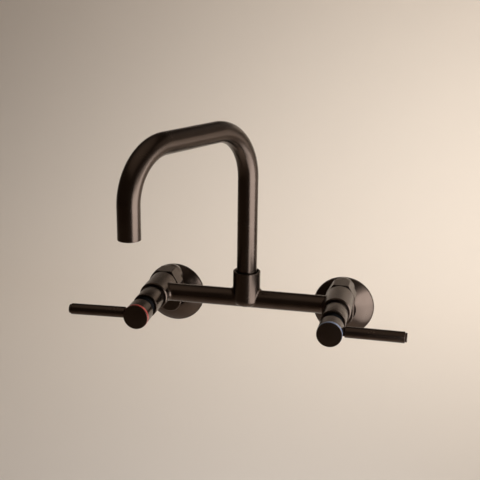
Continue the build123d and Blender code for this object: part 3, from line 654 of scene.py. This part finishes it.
@dataclass
class WallUnion(SideAssembly):
    """Domed cover, offset union, washer, tailpiece and hexagon nut of one side."""

    rim_depth: float = 1.2 * MM
    rim_round: float = 0.35 * MM
    rim_back_round: float = 0.175 * MM
    rim_step_round: float = 0.0875 * MM
    rim_lip: float = 0.8 * MM
    mouth_radius: float = 15.5 * MM
    mouth_round: float = 0.4 * MM
    shell: float = 1.0 * MM
    skirt_inset: float = 1.6 * MM
    collar_radius: float = 13.1 * MM
    collar_back: float = 6.5 * MM
    collar_front: float = 8.5 * MM
    dome_steps: int = 28
    cover_steps: int = 192
    nut_lip_radius: float = 10.9 * MM
    nut_bore_radius: float = 13.3 * MM
    nut_lip: float = 7.7 * MM
    nut_lip_chamfer: float = 0.4 * MM
    nut_crown_radius: float = 16.2 * MM
    nut_crown_angle: float = 30.0
    nut_crown_depth_share: float = 1.8
    nut_corner_round: float = 0.28 * MM
    nut_edge_round: float = 0.25 * MM
    nut_edge_rows: int = 5
    nut_crown_rows: int = 8
    nut_steps: int = 288
    socket_radius: float = 9.5 * MM
    thread_height: float = 0.75 * MM
    thread_pitch: float = 1.81 * MM
    thread_length: float = 13.0 * MM
    thread_start_share: float = 0.6
    thread_fade_turns: float = 0.5
    thread_steps: int = 72
    thread_sink_share: float = -0.05
    thread_root_half_share: float = 0.5
    thread_crest_half_share: float = 0.07

    def build(self) -> None:
        """Dresses and makes the pieces of the union."""
        self.keep(self.named("eccentric_union"), Slot.BRONZE)
        self.keep(self.named("union_washer"), Slot.SEAL_RUBBER)
        self.keep(self.named("inlet_nipple"), Slot.BRONZE)
        self.fit(self._cover(), "root", Slot.BRONZE, self.named("escutcheon"))
        self.fit(self._nut(), "root", Slot.BRONZE, self.named("coupling_nut"))
        self.fit(self._thread(), "root", Slot.BARE_BRASS)

    def _cover(self) -> bpy.types.Object:
        """Spins the cover: rolled rim, dome, turned-in mouth and inner collar.

        Returns:
            The cover.
        """
        seat = Seat.of(self.named("escutcheon"))
        rise = seat.front - self.rim_depth
        centre = (seat.front**2 + self.mouth_radius**2 - self.rim_depth**2 - seat.radius**2) / (2 * rise)
        dome = math.hypot(seat.front - centre, self.mouth_radius)
        lip = seat.radius - self.rim_lip
        mouth_edge = self.mouth_radius + self.mouth_round
        inner_mouth = self.mouth_radius + self.shell
        inner_foot = seat.radius - self.skirt_inset
        outer = arc_points(centre, dome, lip, mouth_edge, self.dome_steps)
        inner = arc_points(centre, dome - self.shell, inner_mouth, inner_foot, self.dome_steps)
        rim = rounded_outline([
            (0.0, seat.radius - self.shell, 0.0),
            (0.0, seat.radius, self.rim_back_round),
            (self.rim_depth, seat.radius, self.rim_round),
            (self.rim_depth, lip, self.rim_step_round),
            (*outer[0], self.rim_step_round),
            (*outer[1], 0.0),
        ])
        mouth = rounded_outline([
            (*outer[-1], 0.0),
            (seat.front, self.mouth_radius, self.mouth_round),
            (self.collar_front, self.mouth_radius, 0.0),
            (self.collar_front, self.collar_radius, self.mouth_round),
            (self.collar_back, self.collar_radius, self.mouth_round),
            (self.collar_back, inner_mouth, 0.0),
        ])
        outline = rim + outer[2:-1] + mouth + inner
        return spin(self.named("domed_cover"), outline, seat.origin, OUT, self.cover_steps)

    def _nut(self) -> bpy.types.Object:
        """Makes the hexagon nut, with crowned ends and softened corners.

        Returns:
            The nut.
        """
        seat = Seat.of(self.named("coupling_nut"))
        half_flats = seat.radius
        corner = half_flats / math.cos(math.pi / 6)
        slope = math.tan(math.radians(self.nut_crown_angle))
        crown = (corner - self.nut_crown_radius) * slope * self.nut_crown_depth_share
        turns = [math.tau * step / self.nut_steps for step in range(self.nut_steps)]
        length = seat.front - seat.back
        edge_rows, crown_rows = self.nut_edge_rows, self.nut_crown_rows
        depths = [self.nut_edge_round * row / edge_rows for row in range(edge_rows)]
        rest = crown - self.nut_edge_round
        depths += [self.nut_edge_round + rest * row / crown_rows for row in range(crown_rows + 1)]
        depths += [length - depth for depth in reversed(depths)]

        def point(turn: float, depth: float, radius: float) -> Vector:
            """The point at a turn, a depth into the nut and a radius."""
            spoke = Vector((math.cos(turn), 0.0, math.sin(turn)))
            return seat.origin + OUT * (seat.back + depth) + spoke * radius

        def soft_least(first: float, second: float, soft: float) -> float:
            """The smaller of two lengths, with a soft passage between them."""
            share = max(0.0, min(1.0, 0.5 + (second - first) / (2 * soft)))
            return second * (1 - share) + first * share - soft * share * (1 - share)

        def outer_radius(turn: float, depth: float) -> float:
            """Radius of the nut's outside: flanks, softened corners, crowns and end edges.

            Args:
                turn: the angle about the axis.
                depth: the depth into the nut.

            Returns:
                The radius.
            """
            flank = half_flats / math.cos((turn % (math.pi / 3)) - math.pi / 6)
            flank = soft_least(flank, corner - self.nut_corner_round, self.nut_corner_round)
            reach = min(depth, length - depth)
            ends = self.nut_crown_radius + reach / slope
            edge = max(0.0, 1 - reach / self.nut_edge_round)
            edge_drop = self.nut_edge_round * (1 - math.sqrt(1 - edge**2))
            return soft_least(flank, ends, self.nut_corner_round) - edge_drop

        rings = [[point(turn, depth, outer_radius(turn, depth)) for turn in turns] for depth in depths]
        inner = [
            (length, self.nut_lip_radius + self.nut_lip_chamfer),
            (length - self.nut_lip_chamfer, self.nut_lip_radius),
            (length - self.nut_lip, self.nut_lip_radius),
            (length - self.nut_lip, self.nut_bore_radius),
            (0.0, self.nut_bore_radius),
        ]
        rings += [[point(turn, depth, radius) for turn in turns] for depth, radius in inner]
        return skin(self.named("hex_nut"), rings)

    def _thread(self) -> bpy.types.Object:
        """Winds the female thread of the inlet socket up its bore, as a ridge.

        Returns:
            The thread.
        """
        seat = Seat.of(self.named("escutcheon"))
        per_turn = self.thread_steps
        count = int(self.thread_length / self.thread_pitch * per_turn)
        fade_steps = self.thread_fade_turns * per_turn
        section_shares = (
            (-self.thread_root_half_share, self.thread_sink_share),
            (-self.thread_crest_half_share, 1.0),
            (self.thread_crest_half_share, 1.0),
            (self.thread_root_half_share, self.thread_sink_share),
        )
        rings = []
        for step in range(count):
            turn = math.tau * step / per_turn
            fade = min(1.0, step / fade_steps, (count - 1 - step) / fade_steps)
            depth = self.thread_pitch * (self.thread_start_share + step / per_turn)
            across = Vector((math.cos(turn), 0.0, math.sin(turn)))
            section = []
            for along, height in section_shares:
                rise = self.thread_height * max(height * fade, self.thread_sink_share)
                radius = self.socket_radius - rise
                section.append(seat.origin + OUT * (depth + along * self.thread_pitch) + across * radius)
            rings.append(section)
        return skin(self.named("socket_thread"), rings, closed=False)


@dataclass
class Valve(SideAssembly):
    """Valve body, cartridge, bonnet and glide sleeve of one side."""

    bonnet_foot_radius: float = 12.0 * MM
    bonnet_foot_length: float = 5.5 * MM
    bonnet_bore: float = 11.9 * MM
    bonnet_mouth: float = 10.5 * MM
    bonnet_lip: float = 3.0 * MM
    bonnet_neck: float = 11.0 * MM
    bonnet_neck_length: float = 6.0 * MM
    bonnet_round: float = 0.9 * MM
    bonnet_back_round: float = 0.2 * MM
    bonnet_groove_round: float = 0.3 * MM
    bonnet_shoulder_round: float = 0.45 * MM
    bonnet_mouth_round: float = 0.4 * MM
    sleeve_radius: float = 10.4 * MM
    sleeve_flange: float = 2.0 * MM
    sleeve_bore: float = 8.7 * MM
    sleeve_round: float = 0.5 * MM
    sleeve_flange_round: float = 0.2 * MM

    def build(self) -> None:
        """Dresses and makes the pieces of the valve."""
        self.keep(self.named("valve_body"), Slot.BRONZE)
        self.keep(self.named("cartridge_seal"), Slot.SEAL_RUBBER)
        self.keep(self.named("fixed_disc"), Slot.CERAMIC)
        self.keep(self.named("moving_disc"), Slot.CERAMIC)
        self.keep(self.named("cartridge_housing"), Slot.BARE_BRASS)
        self.keep(self.named("stem"), Slot.BARE_BRASS)
        self.keep(self.named("stem_oring"), Slot.SEAL_RUBBER)
        self.fit(self._bonnet(), "root", Slot.BRONZE, self.named("bonnet"))
        # The sleeve's near-black finish is painted shade in the gap between bonnet and hub.
        self.fit(self._sleeve(), "root", Slot.DARK_PLASTIC_AND_SHADE, self.named("glide_sleeve"))

    def _bonnet(self) -> bpy.types.Object:
        """Spins the tubular bonnet, with its recessed foot and softened front edge.

        Returns:
            The bonnet.
        """
        seat = Seat.of(self.named("bonnet"))
        shoulder = seat.back + self.bonnet_foot_length
        outline = rounded_outline([
            (seat.back, self.bonnet_neck, 0.0),
            (seat.back, self.bonnet_foot_radius, self.bonnet_back_round),
            (shoulder, self.bonnet_foot_radius, self.bonnet_groove_round),
            (shoulder, seat.radius, self.bonnet_shoulder_round),
            (seat.front, seat.radius, self.bonnet_round),
            (seat.front, self.bonnet_mouth, self.bonnet_mouth_round),
            (seat.front - self.bonnet_lip, self.bonnet_mouth, 0.0),
            (seat.front - self.bonnet_lip, self.bonnet_bore, 0.0),
            (seat.back + self.bonnet_neck_length, self.bonnet_bore, 0.0),
            (seat.back + self.bonnet_neck_length, self.bonnet_neck, 0.0),
        ])
        return spin(self.named("bonnet_tube"), outline, seat.origin, OUT)

    def _sleeve(self) -> bpy.types.Object:
        """Spins the sleeve on which the handle turns; its near-black finish is painted shade for the gap
        between bonnet and hub.

        Returns:
            The sleeve.
        """
        seat = Seat.of(self.named("glide_sleeve"))
        outline = rounded_outline([
            (seat.back, self.sleeve_bore, 0.0),
            (seat.back, seat.radius, self.sleeve_flange_round),
            (seat.back + self.sleeve_flange, seat.radius, self.sleeve_flange_round),
            (seat.back + self.sleeve_flange, self.sleeve_radius, 0.0),
            (seat.front, self.sleeve_radius, self.sleeve_round),
            (seat.front, self.sleeve_bore, 0.0),
        ])
        return spin(self.named("painted_shade_sleeve"), outline, seat.origin, OUT)


@dataclass
class Handle(SideAssembly):
    """Hub, coloured ring, cap, screw and lever of one side."""

    hot_droop: float = 1.2
    cold_droop: float = 0.2
    lever_inset: float = 8.3 * MM
    lever_reach: float = 76.99 * MM
    lever_radius: float = 5.9 * MM
    root_start: float = 8.0 * MM
    root_seat: float = 12.3 * MM
    root_radius: float = 4.6 * MM
    root_length: float = 1.6 * MM
    root_taper: float = 1.2 * MM
    root_round: float = 0.3 * MM
    taper_round: float = 0.5 * MM
    bar_round: float = 0.35 * MM
    tenon_radius: float = 3.0 * MM
    tenon_round: float = 0.2 * MM
    groove_slope: float = 0.15 * MM
    groove_floor: float = 0.4 * MM
    groove_depth: float = 0.25 * MM
    tip_radius: float = 4.9 * MM
    tip_length: float = 2.3 * MM
    tip_round: float = 0.7 * MM
    cap_thickness: float = 1.4 * MM
    cap_plug_radius: float = 6.0 * MM
    cap_step_radius: float = 10.1 * MM
    cap_round: float = 0.4 * MM
    cap_plug_round: float = 0.3 * MM
    cap_back_round: float = 0.2 * MM
    ring_thickness: float = 3.1 * MM
    ring_bore: float = 10.2 * MM
    ring_round: float = 0.25 * MM
    lever_steps: int = 96

    def build(self) -> None:
        """Dresses and makes the pieces of the handle."""
        accent = Slot.RED_RING if self.side is Side.HOT else Slot.BLUE_RING
        body = self.named("handle")
        self.keep(self.named("handle_hub"), Slot.BRONZE)
        self.keep(self.named("handle_screw"), Slot.STEEL)
        self.fit(self._ring(), body, accent, self.named("index_ring"))
        self.fit(self._cap(), body, Slot.BRONZE, self.named("hub_cap"))
        self.fit(self._lever(), body, Slot.BRONZE, self.named("lever"))

    def _ring(self) -> bpy.types.Object:
        """Spins the coloured ring between hub and cap.

        Returns:
            The ring.
        """
        seat = Seat.of(self.named("index_ring"))
        outline = rounded_outline([
            (seat.back, self.ring_bore, 0.0),
            (seat.back, seat.radius, self.ring_round),
            (seat.front, seat.radius, self.ring_round),
            (seat.front, self.ring_bore, 0.0),
        ])
        return spin(self.named("accent_ring"), outline, seat.origin, OUT)

    def _cap(self) -> bpy.types.Object:
        """Spins the front cap, with a plug behind it and a softened face edge.

        Returns:
            The cap.
        """
        seat = Seat.of(self.named("hub_cap"))
        back = seat.front - self.cap_thickness
        outline = rounded_outline([
            (seat.back, 0.0, 0.0),
            (seat.back, self.cap_plug_radius, self.cap_plug_round),
            (back - self.ring_thickness, self.cap_plug_radius, 0.0),
            (back - self.ring_thickness, self.cap_step_radius, 0.0),
            (back, self.cap_step_radius, 0.0),
            (back, seat.radius, self.cap_back_round),
            (seat.front, seat.radius, self.cap_round),
            (seat.front, 0.0, 0.0),
        ])
        return spin(self.named("face_cap"), outline, seat.origin, OUT)

    def _lever(self) -> bpy.types.Object:
        """Spins the round bar lever: tenon, necked root, bar, and a tip set off by a fine groove.

        Returns:
            The lever.
        """
        hub = Seat.of(self.named("handle_hub"))
        outward = -1.0 if self.side is Side.HOT else 1.0
        droop = math.radians(self.hot_droop if self.side is Side.HOT else self.cold_droop)
        along = Vector((outward * math.cos(droop), 0.0, -math.sin(droop)))
        body = Seat.of(self.named("index_ring"))
        start = Vector((body.x, -(hub.back + self.lever_inset), body.z))
        root_end = self.root_seat + self.root_length
        bar_end = self.lever_reach - self.tip_length
        groove_start = bar_end + self.groove_slope
        groove_end = groove_start + self.groove_floor
        groove_radius = self.tip_radius - self.groove_depth
        outline = rounded_outline([
            (self.root_start, 0.0, 0.0),
            (self.root_start, self.tenon_radius, self.tenon_round),
            (self.root_seat, self.tenon_radius, 0.0),
            (self.root_seat, self.root_radius, 0.0),
            (root_end, self.root_radius, self.root_round),
            (root_end + self.root_taper, self.lever_radius, self.taper_round),
            (bar_end, self.lever_radius, self.bar_round),
            (groove_start, groove_radius, 0.0),
            (groove_end, groove_radius, 0.0),
            (groove_end + self.groove_slope, self.tip_radius, self.groove_slope),
            (self.lever_reach, self.tip_radius, self.tip_round),
            (self.lever_reach, 0.0, 0.0),
        ])
        return spin(self.named("lever_bar"), outline, start, along, self.lever_steps)


@dataclass
class SpoutArm(Assembly):
    """Bent spout tube with its spigot, seals and aerator."""

    body: str = "spout_arm"
    tube_radius: float = 10.99 * MM
    tube_wall: float = 1.2 * MM
    swing: float = -23.8
    reach: float = 188.3 * MM
    arm_height: float = 220.0 * MM
    arm_slope: float = 0.8
    riser_bend: float = 57.5 * MM
    outlet_bend: float = 50.6 * MM
    outlet_overhang: float = 0.8 * MM
    bend_steps: int = 48
    lip_round: float = 0.45 * MM
    lip_steps: int = 6
    tube_sides: int = 128
    wire_radius: float = 0.17 * MM
    wire_pitch: float = 1.1 * MM
    wire_sides: int = 6
    wire_sway_share: float = 1.05
    wire_pitch_steps: int = 6
    wire_least_steps: int = 4
    screen_band: float = 0.9 * MM
    screen_steps: int = 96
    screen_sharp_angle: float = 50.0

    def build(self) -> None:
        """Dresses and makes the pieces of the spout."""
        self.keep("spout_spigot", Slot.BARE_BRASS)
        self.keep("spout_orings", Slot.SEAL_RUBBER)
        self.keep("aerator_housing", Slot.DARK_PLASTIC_AND_SHADE)
        self.keep("aerator_gasket", Slot.SEAL_RUBBER)
        self.fit(self._tube(), self.body, Slot.BRONZE, "spout")
        self.fit(self._screen(), self.body, Slot.STEEL, "aerator_screen")

    def _route(self) -> list[tuple[Vector, Vector]]:
        """Follows the centreline from the foot up, along the arm and down to the outlet.

        Returns:
            Place and direction at each step, in the upright plane of the spout.
        """
        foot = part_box("spout")[0].z
        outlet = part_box("aerator_housing")[0].z - self.outlet_overhang
        arm_end = self.arm_height + self.reach * math.tan(math.radians(self.arm_slope))
        corners = [
            Vector((0.0, foot)),
            Vector((0.0, self.arm_height)),
            Vector((self.reach, arm_end)),
            Vector((self.reach, outlet)),
        ]
        route = [(corners[0], Vector((0.0, 1.0)))]
        for index, radius in ((1, self.riser_bend), (2, self.outlet_bend)):
            here = corners[index]
            before = (here - corners[index - 1]).normalized()
            after = (corners[index + 1] - here).normalized()
            turn = before.angle(after)
            start = here - before * radius * math.tan(turn / 2)
            inward = Vector((before.y, -before.x))
            for step in range(self.bend_steps + 1):
                angle = turn * step / self.bend_steps
                place = start + (before * math.sin(angle) + inward * (1 - math.cos(angle))) * radius
                route.append((place, before * math.cos(angle) + inward * math.sin(angle)))
        route.append((corners[3], Vector((0.0, -1.0))))
        return route

    def _tube(self) -> bpy.types.Object:
        """Makes the bent tube, with a softened lip at the outlet.

        Returns:
            The tube.
        """
        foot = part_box("spout_bearing_ring")
        axis_x, axis_y = (foot[0].x + foot[1].x) / 2, (foot[0].y + foot[1].y) / 2
        swing = math.radians(self.swing)
        outward = Vector((math.sin(swing), -math.cos(swing), 0.0))
        side = UP.cross(outward)
        origin = Vector((axis_x, axis_y, 0.0))
        turns = [math.tau * step / self.tube_sides for step in range(self.tube_sides)]

        def ring(place: Vector, direction: Vector, radius: float) -> list[Vector]:
            """Rings a point of the route.

            Args:
                place: the point in the upright plane of the spout.
                direction: the route's direction there.
                radius: the ring's radius.

            Returns:
                The points of the ring.
            """
            centre = origin + outward * place.x + UP * place.y
            along = outward * direction.x + UP * direction.y
            across = along.cross(side)
            spokes = (across * math.cos(turn) + side * math.sin(turn) for turn in turns)
            return [centre + spoke * radius for spoke in spokes]

        route = self._route()
        end, down = route[-1]
        bore = self.tube_radius - self.tube_wall
        rings = [ring(place, direction, self.tube_radius) for place, direction in route[:-1]]
        quarter = [math.pi / 2 * step / self.lip_steps for step in range(self.lip_steps + 1)]
        rising = [self.lip_round * (1 - math.cos(angle)) for angle in quarter]
        falling = [self.lip_round * (1 - math.sin(angle)) for angle in quarter]
        lip = [(self.tube_radius - inset, back) for inset, back in zip(rising, falling)]
        lip += [(bore + inset, back) for inset, back in zip(falling, rising)]
        rings += [ring(end - down * back, down, radius) for radius, back in lip]
        rings += [ring(place, direction, bore) for place, direction in reversed(route[:-1])]
        return skin("spout_tube", rings)

    def _screen(self) -> bpy.types.Object:
        """Weaves the screen in its flat band.

        Returns:
            The screen.
        """
        low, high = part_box("aerator_screen")
        centre = (low + high) / 2
        rim = (high.x - low.x) / 2
        half_height = (high.z - low.z) / 2
        shape = bmesh.new()
        turns = [math.tau * step / self.screen_steps for step in range(self.screen_steps)]
        inner = rim - self.screen_band
        band = [(rim, -half_height), (rim, half_height), (inner, half_height), (inner, -half_height)]
        add_skin(shape, [
            [centre + Vector((math.cos(turn) * radius, math.sin(turn) * radius, height)) for turn in turns]
            for radius, height in band
        ], closed=True)
        wire_reach = rim - self.screen_band / 2
        sway = self.wire_radius * self.wire_sway_share
        count = int(wire_reach / self.wire_pitch)
        right, inward = Vector((1, 0, 0)), Vector((0, 1, 0))
        for across, along, sign in ((right, inward, 1), (inward, right, -1)):
            for index in range(-count, count + 1):
                offset = index * self.wire_pitch
                half = math.sqrt(wire_reach**2 - offset**2)
                steps = int(half * 2 / self.wire_pitch * self.wire_pitch_steps)
                steps = max(self.wire_least_steps, steps)
                rings = []
                for step in range(steps + 1):
                    run = -half + 2 * half * step / steps
                    lift = sign * sway * math.cos(math.pi * (run / self.wire_pitch + index))
                    middle = centre + across * offset + along * run + UP * lift
                    rings.append([
                        middle + (across * math.cos(angle) + UP * math.sin(angle)) * self.wire_radius
                        for angle in (math.tau * turn / self.wire_sides for turn in range(self.wire_sides))
                    ])
                add_skin(shape, rings, closed=False)
        bmesh.ops.recalc_face_normals(shape, faces=shape.faces)
        return as_object(shape, "woven_screen", self.screen_sharp_angle)


@dataclass
class Bridge(Assembly):
    """Bridge casting with the spout's bearing ring and keeper screw."""

    def build(self) -> None:
        """Dresses the pieces of the bridge."""
        self.keep("bridge", Slot.BRONZE)
        self.keep("spout_bearing_ring", Slot.PALE_PLASTIC)
        self.keep("spout_retaining_screw", Slot.STEEL)


# Studio


@dataclass(frozen=True)
class Softbox:
    """One rectangular lamp that faces a point."""

    name: str
    place: tuple[float, float, float]
    target: tuple[float, float, float]
    width: float
    height: float
    power: float
    colour: Colour = (1.0, 1.0, 1.0)
    spread: float = 180.0
    mirrored: bool = True

    def build(self) -> None:
        """Places the lamp."""
        data = bpy.data.lights.new(self.name, "AREA")
        data.shape = "RECTANGLE"
        data.size = self.width
        data.size_y = self.height
        data.energy = self.power
        data.color = self.colour
        data.spread = math.radians(self.spread)
        lamp = bpy.data.objects.new(self.name, data)
        aim = Vector(self.target) - Vector(self.place)
        lamp.visible_camera = False
        lamp.visible_glossy = self.mirrored
        lamp.matrix_world = Matrix.Translation(self.place) @ aim.to_track_quat("-Z", "Y").to_matrix().to_4x4()
        bpy.context.scene.collection.objects.link(lamp)


def beside(name: str, level: float, height: float, power: float, **rest: object) -> Softbox:
    """One lamp of the row at the right of the faucet; they differ in level, height and power.

    Args:
        name: the lamp's name.
        level: how high its middle is.
        height: its height.
        power: its power.
        rest: its colour and spread.

    Returns:
        The lamp.
    """
    place = (0.41, -0.285, level)
    target = (-0.057, -0.107, level)
    return Softbox(name, place, target, width=0.56, height=height, power=power, **rest)


def softboxes() -> list[Softbox]:
    """The lamps: a row beside the faucet, one behind it, two above and one on the backdrop.

    Returns:
        The lamps.
    """
    return [
        beside("side_softbox", 0.06, 0.24, 2.4, colour=(0.92, 1.0, 1.12)),
        beside("crest_softbox", 0.24, 0.12, 0.26, colour=(0.95, 1.0, 1.06)),
        beside("knee_softbox", -0.26, 0.40, 2.1, colour=(0.92, 1.0, 1.12), spread=140.0),
        Softbox(
            "rear_softbox", place=(0.52, 0.12, 0.16), target=(-0.04, -0.16, 0.20),
            width=0.25, height=0.35, power=0.33, colour=(1.0, 0.97, 0.94),
        ),
        Softbox(
            "upper_softbox", place=(1.3, 1.0, 1.1), target=(0.0, -0.1, 0.15),
            width=2.4, height=1.2, power=2.2, colour=(1.0, 0.94, 0.88),
        ),
        Softbox(
            "top_softbox", place=(-0.25, -0.4, 1.7), target=(0.0, -0.1, 0.0),
            width=3.0, height=2.2, power=2.7, colour=(1.0, 0.93, 0.86), spread=120.0,
        ),
        Softbox(
            "backdrop_softbox", place=(1.6, 0.85, 1.9), target=(0.3, 2.0, -0.3),
            width=2.4, height=1.4, power=24.5, colour=(1.0, 0.975, 0.94), spread=86.0, mirrored=False,
        ),
    ]


@dataclass
class Studio:
    """Pale floor that curves up behind the faucet, soft lamps, dim surroundings and the camera."""

    floor_drop: float = 0.55
    floor_front: float = -6.0
    floor_half_width: float = 7.0
    backdrop_depth: float = 2.3
    backdrop_height: float = 1.12
    backdrop_bend: float = 0.9
    backdrop_steps: int = 24
    backdrop_sharp_angle: float = 80.0
    floor_colour: Colour = (0.80, 0.72, 0.635)
    floor_roughness: float = 0.9
    floor_specular: float = 0.1
    room_colour: Colour = (0.072, 0.056, 0.045)
    camera_place: tuple[float, float, float] = (0.18528, -1.01461, 0.38786)
    camera_yaw: float = 11.611
    camera_pitch: float = 17.012
    camera_roll: float = 0.719
    focal_pixels: float = 921.8
    frame_pixels: int = 480
    sensor: float = 36.0
    camera_range: float = 60.0
    lamps: list[Softbox] = field(default_factory=softboxes)

    def build(self) -> None:
        """Builds the studio."""
        self._floor()
        self._world()
        for lamp in self.lamps:
            lamp.build()
        self._camera()
        bpy.context.scene.view_settings.view_transform = "Standard"

    def _floor(self) -> None:
        """Lays the floor well below the faucet and bends it up into a backdrop."""
        bend_start = self.backdrop_depth - self.backdrop_bend
        profile = [(self.floor_front, -self.floor_drop)]
        for step in range(self.backdrop_steps + 1):
            angle = math.pi / 2 * step / self.backdrop_steps
            along = bend_start + self.backdrop_bend * math.sin(angle)
            profile.append((along, -self.floor_drop + self.backdrop_bend * (1.0 - math.cos(angle))))
        profile.append((self.backdrop_depth, self.backdrop_height))
        shape = bmesh.new()
        sides = (-self.floor_half_width, self.floor_half_width)
        rows = [[shape.verts.new((x, y, z)) for x in sides] for y, z in profile]
        for near, far in zip(rows, rows[1:]):
            shape.faces.new((near[0], near[1], far[1], far[0]))
        floor = as_object(shape, "studio_floor", self.backdrop_sharp_angle)
        plain = bpy.data.materials.new("pale_floor")
        plain.use_nodes = True
        shader = plain.node_tree.nodes["Principled BSDF"]
        shader.inputs["Base Color"].default_value = rgba(self.floor_colour)
        shader.inputs["Roughness"].default_value = self.floor_roughness
        shader.inputs["Specular IOR Level"].default_value = self.floor_specular
        floor.data.materials.append(plain)

    def _world(self) -> None:
        """Gives the room a dim, even tone."""
        world = bpy.data.worlds.new("room")
        bpy.context.scene.world = world
        world.use_nodes = True
        backdrop = world.node_tree.nodes["Background"]
        backdrop.inputs["Color"].default_value = rgba(self.room_colour)
        backdrop.inputs["Strength"].default_value = 1.0

    def _camera(self) -> None:
        """Sets the camera at the photograph's viewing angle."""
        yaw = math.radians(self.camera_yaw)
        pitch = math.radians(self.camera_pitch)
        roll = math.radians(self.camera_roll)
        level = Vector((-math.sin(yaw), math.cos(yaw), 0.0))
        forward = level * math.cos(pitch) - UP * math.sin(pitch)
        level_right = forward.cross(UP).normalized()
        level_up = level_right.cross(forward)
        right = level_right * math.cos(roll) + level_up * math.sin(roll)
        up = level_up * math.cos(roll) - level_right * math.sin(roll)
        data = bpy.data.cameras.new("camera")
        data.sensor_width = self.sensor
        data.sensor_fit = "HORIZONTAL"
        data.lens = self.focal_pixels / self.frame_pixels * self.sensor
        data.clip_end = self.camera_range
        camera = bpy.data.objects.new("camera", data)
        turn = Matrix((right, up, -forward)).transposed().to_4x4()
        camera.matrix_world = Matrix.Translation(self.camera_place) @ turn
        bpy.context.scene.collection.objects.link(camera)
        bpy.context.scene.camera = camera


def main() -> None:
    """Builds the studio and dresses the faucet, one sub-assembly after another."""
    logging.basicConfig(level=logging.INFO, format="%(name)s: %(message)s")
    Studio().build()
    palette = Palette([
        RUBBED_BRONZE, MACHINED_BRASS, STAINLESS, CERAMIC, SEAL_RUBBER, DARK_PLASTIC_AND_SHADE, PALE_PLASTIC,
        RED_ENAMEL, BLUE_ENAMEL,
    ])
    for side in Side:
        WallUnion(palette, side).build()
        Valve(palette, side).build()
        Handle(palette, side).build()
    Bridge(palette).build()
    SpoutArm(palette).build()


if __name__ == "__main__":
    main()
